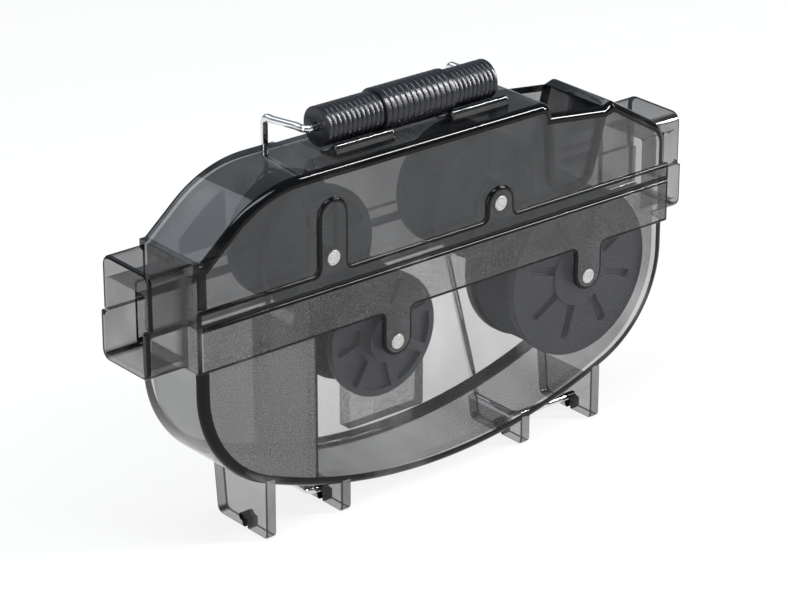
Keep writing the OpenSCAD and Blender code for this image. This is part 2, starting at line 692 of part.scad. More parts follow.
// One tuft: a slim three-sided spike that points out along x
module tuft(r0, r1) {
    pts = [for (e = [[r0, tuft_root], [r1, tuft_tip]], i = [0:2])
        [e[0], e[1] / 2 * cos(120 * i), e[1] / 2 * sin(120 * i)]];
    polyhedron(pts, [[0, 1, 2], [3, 5, 4], [0, 4, 1], [0, 3, 4], [1, 5, 2], [1, 4, 5], [2, 3, 0], [2, 5, 3]]);
}
// A brush: a backing ring with rings of tufts, each ring turned by half a step
module brush(x, z, y) {
    w = brush_w - 2 * disc_t - 2 * brush_gap;
    r0 = sleeve_r + backing_gap;
    tip = brush_r - tip_inset;
    color([0.07, 0.07, 0.08]) on_axle(x, z, face_y + y + disc_t + brush_gap) resize([0, 0, w]) union() {
        difference() {
            cylinder(h = w, r = r0 + backing_t, $fn = tufts_round);
            translate([0, 0, -over])
                cylinder(h = w + 2 * over, r = r0 / cos(180 / tufts_round), $fn = tufts_round);
        }
        for (k = [0:tuft_rings - 1], i = [0:tufts_round - 1])
            translate([0, 0, w * (k + 0.5) / tuft_rings])
                rotate(360 / tufts_round * (i + k % 2 / 2)) tuft(r0 + backing_t / 2, tip);
    }
}
module upper_left_brush() brush(ul_x, ul_z, brush_y);
module upper_right_brush() brush(ur_x, ur_z, brush_y);
module lower_left_brush() brush(ll_x, ll_z, brush_y);

// The sponge: a plain soft ring between the big discs
module lower_right_sponge() {
    w = sponge_w - 2 * disc_t - 2 * brush_gap;
    color([0.16, 0.16, 0.17]) on_axle(lr_x, lr_z, face_y + sponge_y + disc_t + brush_gap) difference() {
        cylinder(h = w, r = sponge_r - tip_inset / 2, $fn = round_fn);
        translate([0, 0, -over]) cylinder(h = w + 2 * over, r = sleeve_r + backing_gap, $fn = round_fn);
    }
}

tank_shell();
lid_shell();
bail_wire();
grip_left_sleeve();
grip_collar();
grip_right_sleeve();
upper_left_axle();
upper_right_axle();
lower_left_axle();
lower_right_axle();
upper_left_front_disc();
upper_left_rear_disc();
upper_left_brush();
upper_right_front_disc();
upper_right_rear_disc();
upper_right_brush();
lower_left_front_disc();
lower_left_rear_disc();
lower_left_brush();
lower_right_front_disc();
lower_right_rear_disc();
lower_right_sponge();
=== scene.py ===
import math
import random

import bmesh
import bpy
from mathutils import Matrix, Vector


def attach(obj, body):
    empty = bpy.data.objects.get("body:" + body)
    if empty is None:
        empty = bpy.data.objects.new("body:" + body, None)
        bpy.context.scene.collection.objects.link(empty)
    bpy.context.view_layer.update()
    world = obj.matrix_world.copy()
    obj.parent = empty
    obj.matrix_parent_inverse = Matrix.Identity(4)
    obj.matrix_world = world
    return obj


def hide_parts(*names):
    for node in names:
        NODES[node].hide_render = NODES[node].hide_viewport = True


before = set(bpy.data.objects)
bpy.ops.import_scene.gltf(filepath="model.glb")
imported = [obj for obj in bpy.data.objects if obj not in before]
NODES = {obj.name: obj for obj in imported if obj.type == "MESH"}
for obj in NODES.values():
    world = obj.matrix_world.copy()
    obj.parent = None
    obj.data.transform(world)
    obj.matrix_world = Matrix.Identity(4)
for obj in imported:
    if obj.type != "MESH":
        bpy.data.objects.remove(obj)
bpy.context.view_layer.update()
MM = 0.001
FULL_TURN = 2 * math.pi
QUARTER_TURN = math.pi / 2
scene = bpy.context.scene

# Camera, in metres and degrees
CAMERA_AT = (-0.54481, -0.65103, 0.42219)
AZIMUTH, ELEVATION = -39.6, 23.7
LENS, SENSOR = 149.77, 36


def make_camera():
    data = bpy.data.cameras.new("camera")
    camera = bpy.data.objects.new("camera", data)
    scene.collection.objects.link(camera)
    scene.camera = camera
    data.sensor_width = SENSOR
    data.lens = LENS
    data.clip_start = 0.05
    data.clip_end = 20
    azimuth, elevation = math.radians(AZIMUTH), math.radians(ELEVATION)
    camera.location = CAMERA_AT
    look = Vector((-math.sin(azimuth) * math.cos(elevation), math.cos(azimuth) * math.cos(elevation),
                   -math.sin(elevation)))
    camera.rotation_euler = look.to_track_quat("-Z", "Y").to_euler()


make_camera()
scene.view_settings.view_transform = "Standard"


# Materials
class Mat:
    """A material with its Principled shader and short helpers for nodes."""

    def __init__(self, name):
        self.material = bpy.data.materials.new(name)
        self.material.use_nodes = True
        self.tree = self.material.node_tree
        self.shader = self.tree.nodes["Principled BSDF"]
        self.places = self.tree.nodes.new("ShaderNodeTexCoord")

    def set(self, **values):
        for key, v in values.items():
            self.shader.inputs[key.replace("_", " ")].default_value = v

    def shine(self, level):
        self.shader.inputs["Specular IOR Level"].default_value = level

    def noise(self, scale, detail=2.0, rough=0.5, stretch=(1, 1, 1)):
        mapping = self.tree.nodes.new("ShaderNodeMapping")
        mapping.inputs["Scale"].default_value = stretch
        n = self.tree.nodes.new("ShaderNodeTexNoise")
        n.inputs["Scale"].default_value = scale
        n.inputs["Detail"].default_value = detail
        n.inputs["Roughness"].default_value = rough
        self.tree.links.new(self.places.outputs["Object"], mapping.inputs["Vector"])
        self.tree.links.new(mapping.outputs["Vector"], n.inputs["Vector"])
        return n.outputs["Fac"]

    def ramp(self, source, stops):
        r = self.tree.nodes.new("ShaderNodeValToRGB")
        r.color_ramp.elements[0].position = stops[0][0]
        r.color_ramp.elements[1].position = stops[-1][0]
        for position, _ in stops[1:-1]:
            r.color_ramp.elements.new(position)
        for element, (_, colour) in zip(r.color_ramp.elements, stops):
            element.color = colour if len(colour) == 4 else (*colour, 1)
        self.tree.links.new(source, r.inputs["Fac"])
        return r.outputs["Color"]

    def math(self, op, a, b):
        n = self.tree.nodes.new("ShaderNodeMath")
        n.operation = op
        for i, v in enumerate((a, b)):
            if isinstance(v, (int, float)):
                n.inputs[i].default_value = v
            else:
                self.tree.links.new(v, n.inputs[i])
        return n.outputs[0]

    def split(self, source):
        n = self.tree.nodes.new("ShaderNodeSeparateXYZ")
        self.tree.links.new(source, n.inputs[0])
        return list(n.outputs)

    def span(self, source, a0, a1, b0, b1):
        """Maps a0 to a1 onto b0 to b1 and stays within them."""
        n = self.tree.nodes.new("ShaderNodeMapRange")
        for key, v in (("From Min", a0), ("From Max", a1), ("To Min", b0), ("To Max", b1)):
            n.inputs[key].default_value = v
        self.tree.links.new(source, n.inputs["Value"])
        return n.outputs["Result"]

    def link(self, source, socket):
        self.tree.links.new(source, self.shader.inputs[socket])

    def bump(self, source, strength, distance):
        b = self.tree.nodes.new("ShaderNodeBump")
        b.inputs["Strength"].default_value = strength
        b.inputs["Distance"].default_value = distance
        self.tree.links.new(source, b.inputs["Height"])
        self.tree.links.new(b.outputs["Normal"], self.shader.inputs["Normal"])


def grey(v, warm=0.0):
    return (v * (1 + warm), v, v * (1 - warm), 1)


def frosting(m, across, total, tone, rough, warm, frost, compartment, haze):
    """A speckled skin, over the whole piece or over the front of the left compartment alone."""
    fine = m.noise(2400, 3, 0.7)
    mask = 1.0
    if compartment:
        place = m.split(m.places.outputs["Object"])
        left = m.span(place[0], -0.0466, -0.0458, 1, 0)
        mask = m.math("MULTIPLY", left, m.span(across[1], 0.9, 0.97, 0, 1))
        mask = m.math("MULTIPLY", mask, m.span(place[1], -0.012, -0.011, 1, 0))
    uneven = 0.24
    speckle = m.span(fine, 0.3, 0.7, frost - uneven, frost + uneven)
    total = m.math("ADD", total, m.math("MULTIPLY", speckle, mask))
    m.link(m.math("ADD", m.math("MULTIPLY", mask, 0.32), rough), "Roughness")
    lit = m.ramp(fine, [(0.3, grey(tone, warm)), (0.5, grey(0.045 * haze, warm)),
                        (0.72, grey(0.17 * haze, warm))])
    mix = m.tree.nodes.new("ShaderNodeMix")
    mix.data_type = "RGBA"
    mix.inputs[6].default_value = grey(tone, warm)
    m.tree.links.new(lit, mix.inputs[7])
    if compartment:
        m.tree.links.new(mask, mix.inputs[0])
    else:
        mix.inputs[0].default_value = 1
    m.link(mix.outputs[2], "Base Color")
    m.bump(fine, 0.12, 0.00008)
    return total


def smoke(name, tone, front, side, rough, ior=1.9, warm=0.07, frost=0.0, compartment=False,
          edges=0.0, grain=0.0, haze=1.0, shine=0.5):
    """Smoke-tinted clear plastic: front is the alpha of flat faces, side that of edge-on ones."""
    m = Mat(name)
    m.set(IOR=ior)
    m.shine(shine)
    across = [m.math("ABSOLUTE", n, 0) for n in m.split(m.places.outputs["Normal"])]
    streaks = m.noise(70, 3, 0.5, (1, 0.25, 0.5))
    total = m.span(across[1], 0.25, 0.95, side, front)
    total = m.math("MULTIPLY", total, m.span(streaks, 0.3, 0.7, 0.82, 1.18))
    facing = m.tree.nodes.new("ShaderNodeLayerWeight")
    facing.inputs["Blend"].default_value = 0.3
    total = m.math("ADD", total, m.span(facing.outputs["Facing"], 0.35, 1.0, 0.0, 0.4))
    # edges is painted shade: more alpha, so darker, where rounded faces turn aside, standing in for the dark
    # edges refraction gives
    if edges:
        widest = m.math("MAXIMUM", m.math("MAXIMUM", across[0], across[1]), across[2])
        total = m.math("ADD", total, m.span(widest, 0.78, 0.99, edges, 0.0))
    if frost:
        total = frosting(m, across, total, tone, rough, warm, frost, compartment, haze)
    else:
        m.set(Base_Color=grey(tone, warm), Roughness=rough)
        m.bump(m.noise(55, 2), 0.06, 0.0005)
    if grain:
        total = m.math("ADD", total, m.span(m.noise(3000, 2), 0.3, 0.7, -grain, grain))
    clamp = m.tree.nodes.new("ShaderNodeClamp")
    m.tree.links.new(total, clamp.inputs["Value"])
    m.link(clamp.outputs["Result"], "Alpha")
    return m.material


def chrome():
    m = Mat("chrome")
    m.set(Metallic=1.0, Roughness=0.07)
    m.link(m.ramp(m.noise(40, 3), [(0.3, grey(0.62)), (0.7, grey(0.75))]), "Base Color")
    m.bump(m.noise(900, 2, 0.5, (1, 1, 0.2)), 0.04, 0.0001)
    return m.material


def grip_black():
    m = Mat("grip_black")
    m.shine(0.34)
    dark, light = (0.0035, 0.0038, 0.0052), (0.006, 0.0064, 0.0085)
    m.link(m.ramp(m.noise(220, 4), [(0.3, dark), (0.7, light)]), "Base Color")
    m.link(m.span(m.noise(700, 3), 0.3, 0.7, 0.22, 0.34), "Roughness")
    m.bump(m.noise(2600, 2), 0.05, 0.0001)
    return m.material


def pin_end():
    m = Mat("pin_end")
    m.set(Metallic=0.75)
    fine = m.noise(2400, 3, 0.6)
    speckles = [(0.34, grey(0.16, 0.05)), (0.5, grey(0.34, 0.04)), (0.68, grey(0.56, 0.03))]
    m.link(m.ramp(fine, speckles), "Base Color")
    m.link(m.span(fine, 0.3, 0.7, 0.55, 0.3), "Roughness")
    m.bump(fine, 0.3, 0.0001)
    return m.material


def wheel_grey():
    m = Mat("wheel_grey")
    dark, light = (0.0065, 0.0072, 0.0125), (0.010, 0.011, 0.018)
    m.link(m.ramp(m.noise(160, 4), [(0.3, dark), (0.7, light)]), "Base Color")
    m.link(m.span(m.noise(500, 3), 0.3, 0.7, 0.42, 0.56), "Roughness")
    m.bump(m.noise(260, 2), 0.04, 0.0002)
    return m.material


def bristle_dark():
    m = Mat("bristle_dark")
    dark, light = (0.012, 0.013, 0.017), (0.024, 0.025, 0.032)
    m.link(m.ramp(m.noise(900, 2), [(0.3, dark), (0.7, light)]), "Base Color")
    m.set(Roughness=0.55)
    return m.material


def sponge_dark():
    m = Mat("sponge_dark")
    cells = m.noise(1500, 4, 0.65)
    dark, light = (0.012, 0.013, 0.016), (0.045, 0.046, 0.052)
    m.link(m.ramp(cells, [(0.35, dark), (0.6, light)]), "Base Color")
    m.set(Roughness=0.95)
    m.bump(cells, 0.8, 0.0006)
    return m.material


def link_outputs(tree, *pairs):
    for source, socket in pairs:
        tree.links.new(source, socket)


def studio_floor():
    """Pale floor: nearly white to the camera and in reflections, and half see-through to the camera."""
    m = Mat("studio_floor")
    m.set(Roughness=0.9)
    m.link(m.ramp(m.noise(3, 2), [(0.3, grey(0.88)), (0.7, grey(0.90))]), "Base Color")
    new = m.tree.nodes.new
    lit = m.shader.outputs["BSDF"]
    glow = new("ShaderNodeEmission")
    glow.inputs["Color"].default_value = (1, 1, 1, 1)
    glow.inputs["Strength"].default_value = 1.1
    white = new("ShaderNodeMixShader")
    white.inputs[0].default_value = 0.80
    ray = new("ShaderNodeLightPath").outputs
    seen = m.math("MAXIMUM", m.math("MAXIMUM", ray["Is Camera Ray"], ray["Is Glossy Ray"]),
                  ray["Is Transmission Ray"])
    see = new("ShaderNodeMixShader")
    # The open bail swings below the feet, so the camera sees half through the floor
    through = new("ShaderNodeMixShader")
    half = m.math("MULTIPLY", ray["Is Camera Ray"], 0.5)
    link_outputs(m.tree, (lit, white.inputs[1]), (glow.outputs[0], white.inputs[2]),
                 (seen, see.inputs[0]), (lit, see.inputs[1]), (white.outputs[0], see.inputs[2]),
                 (half, through.inputs[0]), (see.outputs[0], through.inputs[1]),
                 (new("ShaderNodeBsdfTransparent").outputs[0], through.inputs[2]),
                 (through.outputs[0], m.tree.nodes["Material Output"].inputs["Surface"]))
    return m.material


CLEAR = smoke("smoke_tank", tone=0.008, front=0.15, side=0.42, rough=0.03, warm=0.0, frost=0.60,
              compartment=True, haze=0.6)
LID = smoke("smoke_lid", tone=0.007, front=0.455, side=0.58, rough=0.03, ior=1.75, warm=-0.12)
FROST = smoke("smoke_frosted", tone=0.010, front=0.42, side=0.55, rough=0.22, ior=1.5, warm=0.03,
              frost=0.20, grain=0.06, haze=0.55)
# FOOT and PORT darken their rounded edges through edges: painted shade
FOOT = smoke("smoke_foot", tone=0.008, front=0.64, side=0.40, rough=0.08, ior=1.5, warm=0.03,
             edges=0.6, grain=0.04)
# Painted shade: the smoke plastic made nearly opaque black where refraction makes its rounded edges and cut
# walls look dark
RIM_SHADE = smoke("smoke_rim_shade", tone=0.001, front=0.985, side=0.985, rough=0.05, ior=1.3, warm=-0.08, shine=0.36)
PORT = smoke("smoke_port", tone=0.006, front=0.47, side=0.47, rough=0.03, ior=1.5, warm=0.06, edges=0.5)
SADDLE = smoke("smoke_saddle", tone=0.003, front=0.86, side=0.86, rough=0.06, ior=1.5, warm=-0.06)
# Painted shade: a dark sheet inside the walls where walls seen edge-on look dark
EDGE_ON_SHADE = smoke("smoke_edge_on_shade", tone=0.001, front=0.86, side=0.86, rough=0.06, ior=1.3, warm=-0.06)
CHROME, GRIP, PIN, WHEEL = chrome(), grip_black(), pin_end(), wheel_grey()
BRISTLE, SPONGE, FLOOR = bristle_dark(), sponge_dark(), studio_floor()

# Material lists of the shells; a face's number is its place in the list
# The second number gives the near-black rim material: painted shade on rounded edges and in cut holes
PLAIN, PAINTED_SHADE, FROSTED, LID_PLAIN, PORTS, SEATS, FEET = range(7)
TANK_MATS = [CLEAR, RIM_SHADE, FROST, LID, PORT, SADDLE, FOOT]
BAND_MATS = [FROST, RIM_SHADE, FROST, LID, PORT, SADDLE, FOOT]
LID_MATS = [LID, RIM_SHADE, FROST, CLEAR, PORT, SADDLE, FOOT]


def paint(o, mat):
    o.data.materials.clear()
    o.data.materials.append(mat)


# Shapes, in millimetres
def corner_points(before, corner, after, r, steps):
    """An arc of radius r in the corner; a radius of nothing repeats the corner."""
    if r <= 0:
        return [corner.copy() for _ in range(steps + 1)]
    u, v = (before - corner).normalized(), (after - corner).normalized()
    half = math.acos(max(-1, min(1, u.dot(v)))) / 2
    mid = corner + (u + v).normalized() * (r / math.sin(half))
    start = corner + u * (r / math.tan(half)) - mid
    end = corner + v * (r / math.tan(half)) - mid
    a0 = math.atan2(start.y, start.x)
    sweep = (math.atan2(end.y, end.x) - a0 + 3 * math.pi) % FULL_TURN - math.pi
    return [mid + r * Vector((math.cos(a0 + sweep * i / steps), math.sin(a0 + sweep * i / steps)))
            for i in range(steps + 1)]


def outline(corners, inset=0.0):
    """Corners [a, b, rounding], anticlockwise, moved inward and rounded; always as many points."""
    n = len(corners)
    moved = []
    for i in range(n):
        p, c, q = (Vector(corners[k % n][:2]) for k in (i - 1, i, i + 1))
        d1, d2 = (c - p).normalized(), (q - c).normalized()
        l1, l2 = Vector((-d1.y, d1.x)), Vector((-d2.y, d2.x))
        m = c + inset * (l1 + l2) / (1 + l1.dot(l2))
        convex = d1.x * d2.y - d1.y * d2.x > 0
        r = corners[i][2]
        moved.append((m, 0 if r == 0 else max(0.0, r - inset if convex else r + inset)))
    fewest, most, spacing = 3, 28, 1.6
    points = []
    for i in range(n):
        m, r = moved[i]
        before, after = moved[i - 1][0], moved[(i + 1) % n][0]
        rounding = corners[i][2]
        if rounding == 0:
            points.append(m.copy())
            continue
        turn = abs((before - m).angle_signed(after - m))
        steps = max(fewest, min(most, int((math.pi - turn) * (rounding + 2) / spacing)))
        points += corner_points(before, m, after, r, steps)
    return points


def circle(a, b, r, steps):
    return [Vector((a + r * math.cos(FULL_TURN * i / steps), b + r * math.sin(FULL_TURN * i / steps)))
            for i in range(steps)]


def quarter(r, steps):
    """Inset and rise of a rounded edge, from its inner end to its outer one."""
    return [(r * (1 - math.sin(QUARTER_TURN * i / steps)), r * (1 - math.cos(QUARTER_TURN * i / steps)))
            for i in range(steps + 1)]


def as_object(name, bm, mats):
    bmesh.ops.remove_doubles(bm, verts=bm.verts, dist=1e-7)
    bmesh.ops.recalc_face_normals(bm, faces=bm.faces)
    me = bpy.data.meshes.new(name)
    bm.to_mesh(me)
    bm.free()
    for mat in mats:
        me.materials.append(mat)
    o = bpy.data.objects.new(name, me)
    scene.collection.objects.link(o)
    return o


def join_rings(bm, lo, hi, number=PLAIN):
    """Faces between two rings of points."""
    n = len(lo)
    for i in range(n):
        f = bm.faces.new((lo[i], lo[(i + 1) % n], hi[(i + 1) % n], hi[i]))
        f.material_index = number


# Where an outline's point at a depth lies: seen from the front, from the end, or from above
def upright(p, d):
    return (p.x * MM, d * MM, p.y * MM)


def lengthwise(p, d):
    return (d * MM, p.x * MM, p.y * MM)


def level(p, d):
    return (p.x * MM, p.y * MM, d * MM)


def stack(name, rings, place, mats, cap=PLAIN):
    """Rings [(points, depth, number of the material that leads to the next ring)], one closed solid."""
    bm = bmesh.new()
    loops = [[bm.verts.new(place(p, d)) for p in points] for points, d, _ in rings]
    for lo, hi, ring in zip(loops, loops[1:], rings):
        join_rings(bm, lo, hi, ring[2])
    for loop in (loops[0], loops[-1]):
        f = bm.faces.new(loop)
        f.material_index = cap
    return as_object(name, bm, mats)


def prism(name, points, near, far, mats, place=upright, side=PLAIN, cap=PLAIN):
    return stack(name, [(points, near, side), (points, far, side)], place, mats, cap)


def slab(name, corners, near, far, r, mats, rim=PAINTED_SHADE, flat=0.0, place=upright, side=None, cap=PLAIN):
    """A plate with rounded edges; the rounding and a flat strip inside it have the rim's material, by
    default the near-black painted shade.
    """
    side = rim if side is None else side
    edge = quarter(r, 4)
    rings = []
    if flat:
        rings.append((outline(corners, r + flat), near, rim))
    rings += [(outline(corners, d), near + h, rim) for d, h in edge[:-1]]
    rings.append((outline(corners, 0), near + r, side))
    rings += [(outline(corners, d), far - h, rim) for d, h in reversed(edge)]
    if flat:
        rings.append((outline(corners, r + flat), far, rim))
    return stack(name, rings, place, mats, cap)


def box_solid(name, lo, hi, r, mats, rim=PLAIN):
    """A rounded block, r at its corners and a little less at its front and back edges."""
    corners = [[lo[0], lo[2], r], [hi[0], lo[2], r], [hi[0], hi[2], r], [lo[0], hi[2], r]]
    return slab(name, corners, lo[1], hi[1], r * 0.98, mats, rim=rim, cap=rim)


def merge(target, tool, op):
    mod = target.modifiers.new(op, "BOOLEAN")
    mod.operation = op
    mod.solver = "EXACT"
    mod.object = tool
    mod.material_mode = "TRANSFER"
    deps = bpy.context.evaluated_depsgraph_get()
    me = bpy.data.meshes.new_from_object(target.evaluated_get(deps), depsgraph=deps)
    target.modifiers.clear()
    old, target.data = target.data, me
    bpy.data.meshes.remove(old)
    bpy.data.objects.remove(tool)


def island_of(first):
    """All points that edges join to the first one."""
    island, todo = {first}, [first]
    while todo:
        for e in todo.pop().link_edges:
            for v in e.verts:
                if v not in island:
                    island.add(v)
                    todo.append(v)
    return island


def tidy_mesh(me):
    """Takes away what the cuts leave behind: doubled points, faces without area and loose crumbs."""
    bm = bmesh.new()
    bm.from_mesh(me)
    nearly_nothing, crumb_points = 3e-6, 12
    bmesh.ops.remove_doubles(bm, verts=bm.verts, dist=nearly_nothing)
    bmesh.ops.dissolve_degenerate(bm, edges=bm.edges, dist=nearly_nothing)
    seen, crumbs = set(), []
    for first in bm.verts:
        if first in seen:
            continue
        island = island_of(first)
        seen |= island
        if len(island) < crumb_points:
            crumbs += list(island)
    bmesh.ops.delete(bm, geom=crumbs, context="VERTS")
    bm.to_mesh(me)
    bm.free()


def finish_shape(o, name, body, slot_name, *nodes, angle=32):
    o.name = name
    me = o.data
    tidy_mesh(me)
    for p in me.polygons:
        p.use_smooth = True
    me.set_sharp_from_angle(angle=math.radians(angle))
    even = o.modifiers.new("even", "WEIGHTED_NORMAL")
    even.keep_sharp = True
    even.weight = 100
    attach(o, body)
    if nodes:
        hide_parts(*nodes)


# Sizes and places of the shells and the wire
body_w, body_d = 169.5, 27.5
half_w = body_w / 2
band_proud, wall = 0.8, 2.0
wire_r, leg_gap = 1.1, 1.1
total_d = band_proud + body_d + leg_gap + 2 * wire_r
face_y = band_proud - total_d / 2
back_y = face_y + body_d
parting_z, lid_z = 69.7, 69.85
band_h, flange_h, tab_r, tab_shift, tall_rise = 13.2, 5.1, 5.2, 1.1, 12.2
tank_bottom_z, corner_r, bottom_r = 4.2, 35.0, 163.0
bottom_turn = math.asin((half_w - corner_r) / (bottom_r - corner_r))
bottom_apex_z = tank_bottom_z + bottom_r - bottom_r / math.cos(bottom_turn)
side_apex_z = bottom_apex_z + half_w * math.tan(bottom_turn)
plateau_z, shoulder_z, slope_r = 104.1, 87.5, 37.0
shoulder_w, slope_angle = 2.1, 40
slope_foot_x = shoulder_w - half_w
slope_apex_x = slope_foot_x + (plateau_z - shoulder_z) / math.tan(math.radians(slope_angle))
plateau_end_x, plateau_end_r, ear_x, ear_z = 40.0, 4.0, 63.7, 98.6
slope_end_z, slope_end_r = 85.9, 9.0
pocket_wall, pocket_r = 1.6, 5.0
pocket_a, pocket_floor_a, pocket_floor_b, pocket_b = 40.3, 42.2, 54.3, 60.3
pocket_floor_z, pocket_end_z, pocket_lip_z = 76.5, 97.6, 100.2
drain_r = 2.0
port_reach, port_step, port_edge = 97.2, 1.0, 0.9
port_bottom_z, port_top_z, port_mouth_z, port_wall, port_r = 55.5, 86.0, 80.0, 2.1, 3.2
port_y = face_y + 5.9
fillet_r = 5.0
feet_x = (-61.8, -35.4, 31.6, 59.0)
foot_t, foot_back, foot_taper = 3.6, 2.9, 1.8
partition_x, partition_t, partition_top_z = -46.0, 1.9, 56.0
inner_box_x, inner_box_z, inner_box_d = (-17.4, 10.6), (11.5, 26.5), 4.4
axles = {"upper_left": (-39.8, 78.4), "upper_right": (20.1, 78.8),
         "lower_left": (-17.4, 47.1), "lower_right": (54.3, 47.2)}
pin_r, pin_fit = 2.25, 0.02
hinge_y, hinge_z, wire_fit = face_y + 11.5, 3.0, 0.08
grip_z = 111.6
saddle_w, saddle_x, saddle_lip_z, seat_r = 20.6, (-34.8, 6.4), 107.9, 6.8
guide_t, guide_y, guide_drop = 1.8, hinge_y + 4.3, 3
guides_x = ((slope_foot_x + 4, slope_foot_x + 18.5), (pocket_b, ear_x + 9.25))
edge_r, lip_r = 2.0, 0.7
# How far a cut goes past what it cuts
beyond = 4
edge_x = half_w + band_proud
ENDS = (-1, 1)


def tank_outline():
    return [[-half_w, parting_z, 0], [-half_w, side_apex_z, corner_r], [0, bottom_apex_z, bottom_r],
            [half_w, side_apex_z, corner_r], [half_w, parting_z, 0]]


def tank_inside():
    """The tank's hollow, carried on above its open top."""
    corner_lift = 0.6
    top, side_z, side_r = parting_z + beyond, side_apex_z + corner_lift, corner_r - wall
    return [[-half_w + wall, top, 0], [-half_w + wall, side_z, side_r],
            [0, bottom_apex_z + wall / math.cos(bottom_turn), bottom_r - wall],
            [half_w - wall, side_z, side_r], [half_w - wall, top, 0]]


def tank_floor_z(x):
    """Height of the tank's outer underside at x."""
    x = abs(x)
    if x > bottom_r * math.sin(bottom_turn):
        drop = (bottom_r - corner_r) * math.cos(bottom_turn) + math.sqrt(
            corner_r ** 2 - (x - half_w + corner_r) ** 2)
    else:
        drop = math.sqrt(bottom_r ** 2 - x ** 2)
    return tank_bottom_z + bottom_r - drop


def port_half(side, z0, z1, reach, low):
    """The lower or the upper half of a chain port, as a full block that channel() opens."""
    y0, y1, r = port_y, back_y, port_r
    if low:
        c = [[y0, z1, 0], [y0, z0, r], [y1, z0, r], [y1, z1, 0]]
    else:
        c = [[y0, z0, 0], [y1, z0, 0], [y1, z1, r], [y0, z1, r]]
    start = half_w - wall
    edge = quarter(port_edge, 3)
    whole = outline(c, 0)
    # The rounded edge of the mouth takes the near-black material: painted shade
    if side < 0:
        rings = [(outline(c, d), h - reach, PAINTED_SHADE) for d, h in edge[:-1]]
        rings += [(whole, port_edge - reach, PORTS), (whole, -start, PORTS)]
    else:
        rings = [(whole, start, PORTS)] + [(outline(c, d), reach - h, PAINTED_SHADE) for d, h in reversed(edge)]
    return stack("port", rings, lengthwise, TANK_MATS, cap=PORTS)


def fillet(side, z0, z1):
    """The hollow curve that leads from the body's end to the port's front."""
    r, overlap, steps = fillet_r, 0.3, 10
    x, y = half_w - overlap, port_y + overlap
    cx, cy = half_w + r, port_y - r
    arc = [Vector((cx - r * math.cos(QUARTER_TURN * i / steps), cy + r * math.sin(QUARTER_TURN * i / steps)))
           for i in range(steps + 1)]
    points = [Vector((x, y)), Vector((x, cy))] + arc + [Vector((cx, y))]
    points = [Vector((side * p.x, p.y)) for p in points]
    return prism("fillet", points, z0, z1, TANK_MATS, level, PORTS, PORTS)


def channel(side):
    """What opens a port from its mouth into the body."""
    overrun, r = 2, 1.0
    x0, x1 = half_w - wall - overrun, port_reach + overrun
    if side < 0:
        x0, x1 = -x1, -x0
    y0, y1 = port_y + port_wall, back_y - port_wall
    z0, z1 = port_bottom_z + port_wall, port_mouth_z
    c = [[y0, z0, r], [y1, z0, r], [y1, z1, r], [y0, z1, r]]
    return prism("channel", outline(c, 0), x0, x1, TANK_MATS, lengthwise, PORTS)


def bore(key, mats):
    x, z = axles[key]
    return prism("bore", circle(x, z, pin_r + pin_fit, 48), face_y - beyond, back_y + beyond, mats)


def foot(x):
    """A foot plate with a round seat for the wire and the mouth that leads to it from below."""
    share_in_wall, front_r, back_r = 0.8, 1.6, 2.5
    top = tank_floor_z(x) + wall * share_in_wall
    y0, y1 = face_y, back_y - foot_back
    corners = [[y0, 0, front_r], [y1 - foot_taper, 0, back_r], [y1, top, 0], [y0, top, 0]]
    plate = slab("foot", corners, x - foot_t / 2, x + foot_t / 2, lip_r, TANK_MATS, rim=FEET,
                 place=lengthwise, cap=FEET)
    seat = circle(hinge_y, hinge_z, wire_r + wire_fit, 32)
    left, right, below, half_gap = face_y + 8.8, face_y + 10.0, -2, 0.55
    mouth = [(left, below), (right, below), (hinge_y, hinge_z - half_gap), (hinge_y, hinge_z + half_gap),
             (left, hinge_z)]
    # The walls of the seat and its mouth take the near-black material: painted shade inside the notch
    for name, points in (("notch", seat), ("mouth", [Vector(v) for v in mouth])):
        cut = prism(name, points, x - foot_t, x + foot_t, TANK_MATS, lengthwise, PAINTED_SHADE, PAINTED_SHADE)
        merge(plate, cut, "DIFFERENCE")
    return plate


def tab_down(x, z):
    """A tab that hangs from the band around a lower axle."""
    root_z, tip_z, root_r, tip_r = parting_z - band_h, z + tab_shift - tab_r, 1.4, tab_r * 0.999
    return [[x - tab_r, root_z, root_r], [x - tab_r, tip_z, tip_r],
            [x + tab_r, tip_z, tip_r], [x + tab_r, root_z, root_r]]


def tab_up(x, z):
    """A tab that stands on the flange around an upper axle."""
    root_z, tip_z, root_r, tip_r = parting_z + flange_h, z + tab_r, 1.4, tab_r * 0.999
    return [[x + tab_r, root_z, root_r], [x + tab_r, tip_z, tip_r],
            [x - tab_r, tip_z, tip_r], [x - tab_r, root_z, root_r]]


def belt(name, corners, mats, flat):
    """The band or the flange, a little proud of the walls in front and at the back."""
    return slab(name, corners, face_y - band_proud, back_y + band_proud, lip_r, mats, side=PLAIN, flat=flat)


# The tank
def tank_band():
    low_z, r = parting_z - band_h, 0.6
    return [[-edge_x, parting_z, 0], [-edge_x, low_z, r], *tab_down(*axles["lower_left"]),
            *tab_down(*axles["lower_right"]), [edge_x, low_z, r], [edge_x, parting_z, 0]]


def partition():
    """The wall that closes the left compartment, rooted in the front, the back and the floor."""
    x, half_t, rooted, r = partition_x, partition_t / 2, 1, 0.4
    return box_solid("partition", (x - half_t, face_y + rooted, tank_floor_z(x) + rooted),
                     (x + half_t, back_y - rooted, partition_top_z), r, TANK_MATS, LID_PLAIN)


def inner_box():
    """A box on the inside of the back wall."""
    back, rooted, r = back_y - wall, 1, 1.0
    return box_solid("box", (inner_box_x[0], back - inner_box_d, inner_box_z[0]),
                     (inner_box_x[1], back + rooted, inner_box_z[1]), r, TANK_MATS, FROSTED)


